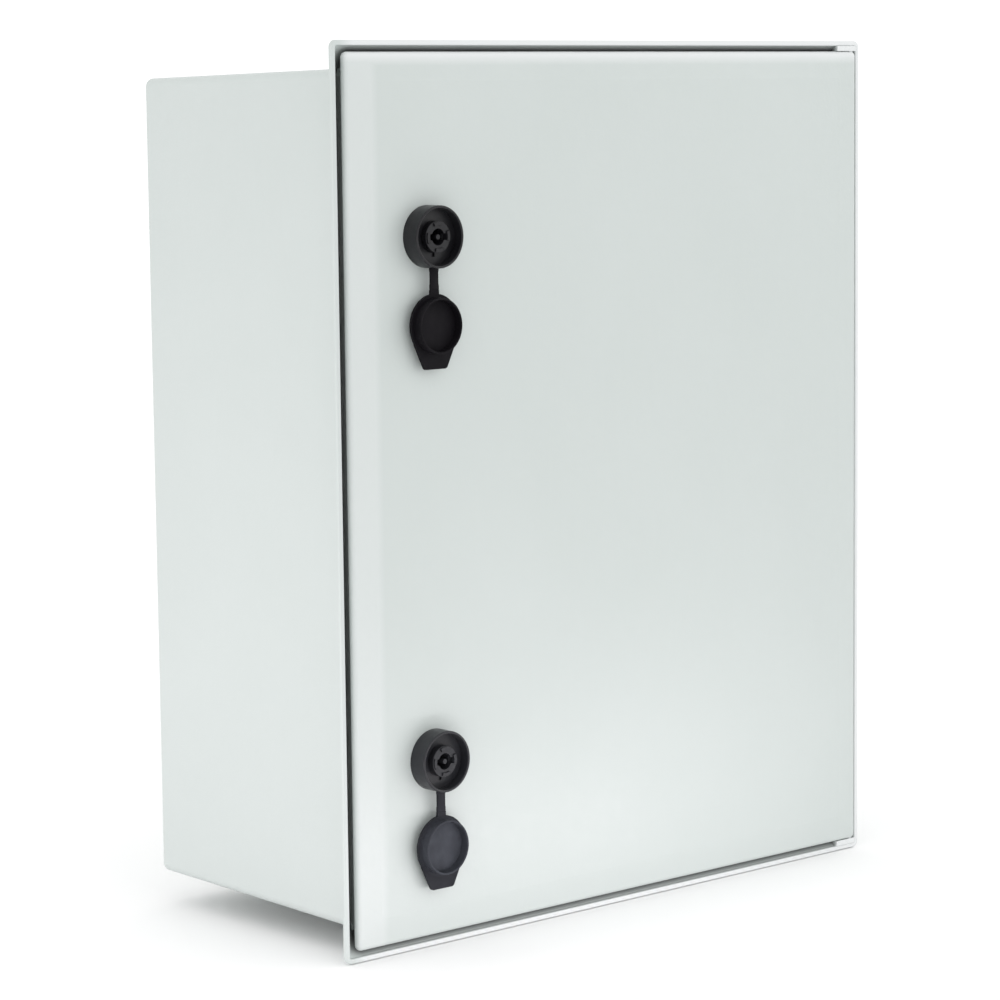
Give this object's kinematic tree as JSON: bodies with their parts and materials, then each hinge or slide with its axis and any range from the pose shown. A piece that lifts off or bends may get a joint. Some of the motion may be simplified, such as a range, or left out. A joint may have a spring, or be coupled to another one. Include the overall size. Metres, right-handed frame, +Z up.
{
  "type": "traffic signal controller cabinet",
  "caption": "Pale grey moulded wall cabinet with an inset door, two black quarter-turn locks and hanging dust caps.",
  "frame": {"origin": "centre of the back face, on the wall", "axes": "+X to the right seen from the front, +Y into the wall, +Z up; the door faces -Y"},
  "size_m": [0.5, 0.2458, 0.6],
  "materials": {
    "polyester": "satin moulded glass-fibre polyester, pale grey",
    "lock_black": "satin black moulded plastic",
    "cap_rubber": "matt black",
    "foam": "closed-cell foam, matt",
    "plated_steel": "zinc-plated sheet",
    "brass": "turned brass",
    "case_grey": "satin light grey plastic",
    "case_dark": "satin dark grey plastic",
    "supply_metal": "satin pressed metal",
    "terminal_beige": "satin grey plastic",
    "plug_green": "satin green plastic",
    "lens": "clear tinted plastic",
    "screen": "dark glossy window",
    "key_green": "green key",
    "key_red": "red key"
  },
  "bodies": {
    "cabinet": {"cabinet_body": "polyester", "plate_inserts": "brass", "mounting_plate": "plated_steel", "plate_screws": "plated_steel", "upper_hinge_block": "polyester", "lower_hinge_block": "polyester", "upper_hinge_pin": "plated_steel", "lower_hinge_pin": "plated_steel", "upper_catch": "plated_steel", "lower_catch": "plated_steel", "catch_screws": "plated_steel", "upper_rail": "plated_steel", "middle_rail": "plated_steel", "lower_rail": "plated_steel", "rail_screws": "plated_steel", "main_breaker": "case_grey", "surge_arrester": "case_grey", "surge_cartridge": "case_dark", "power_supply": "supply_metal", "controller_housing": "case_dark", "controller_cover": "case_grey", "controller_display": "screen", "lamp_driver_1": "case_dark", "lamp_driver_2": "case_dark", "lamp_driver_3": "case_dark", "lamp_driver_4": "case_dark", "driver_plugs": "plug_green", "driver_lamps": "lens", "terminal_row": "terminal_beige", "end_stops": "case_dark", "earth_posts": "case_dark", "earth_bar": "brass", "earth_screws": "plated_steel"},
    "door": {"door_panel": "polyester", "door_gasket": "foam", "upper_lock_housing": "lock_black", "upper_lock_seal": "foam", "upper_lock_nut": "plated_steel", "upper_cap_strap": "cap_rubber", "lower_lock_housing": "lock_black", "lower_lock_seal": "foam", "lower_lock_nut": "plated_steel", "lower_cap_strap": "cap_rubber"},
    "upper_lock": {"upper_lock_insert": "lock_black", "upper_lock_cam": "plated_steel", "upper_cam_screw": "plated_steel"},
    "lower_lock": {"lower_lock_insert": "lock_black", "lower_lock_cam": "plated_steel", "lower_cam_screw": "plated_steel"},
    "upper_cap": {"upper_dust_cap": "cap_rubber"},
    "lower_cap": {"lower_dust_cap": "cap_rubber"},
    "breaker_lever": {"breaker_lever": "case_dark"},
    "start_key": {"start_key": "key_green"},
    "stop_key": {"stop_key": "key_red"}
  },
  "joints": [
    {"name": "door_swing", "type": "hinge", "parent": "cabinet", "child": "door", "pos_m": [0.24225, -0.22775, 0], "axis": [0, 0, 1], "range_deg": [0, 100]},
    {"name": "upper_lock_turn", "type": "hinge", "parent": "door", "child": "upper_lock", "pos_m": [-0.174, -0.232, 0.173], "axis": [0, 1, 0], "range_deg": [0, 90]},
    {"name": "upper_cap_flip", "type": "hinge", "parent": "door", "child": "upper_cap", "pos_m": [-0.174, -0.24285, 0.1441], "axis": [-1, 0, 0], "range_deg": [0, 180], "deforming": ["upper_cap_strap"]},
    {"name": "lower_lock_turn", "type": "hinge", "parent": "door", "child": "lower_lock", "pos_m": [-0.174, -0.232, -0.173], "axis": [0, 1, 0], "range_deg": [0, 90]},
    {"name": "lower_cap_flip", "type": "hinge", "parent": "door", "child": "lower_cap", "pos_m": [-0.174, -0.24285, -0.2019], "axis": [-1, 0, 0], "range_deg": [0, 180], "deforming": ["lower_cap_strap"]},
    {"name": "breaker_throw", "type": "hinge", "parent": "cabinet", "child": "breaker_lever", "pos_m": [-0.129, -0.0815, 0.16], "axis": [1, 0, 0], "range_deg": [0, 70]},
    {"name": "start_key_press", "type": "slide", "parent": "cabinet", "child": "start_key", "axis": [0, 1, 0], "range_m": [0, 0.0012], "stiffness_N_per_m": 800},
    {"name": "stop_key_press", "type": "slide", "parent": "cabinet", "child": "stop_key", "axis": [0, 1, 0], "range_m": [0, 0.0012], "stiffness_N_per_m": 800}
  ]
}
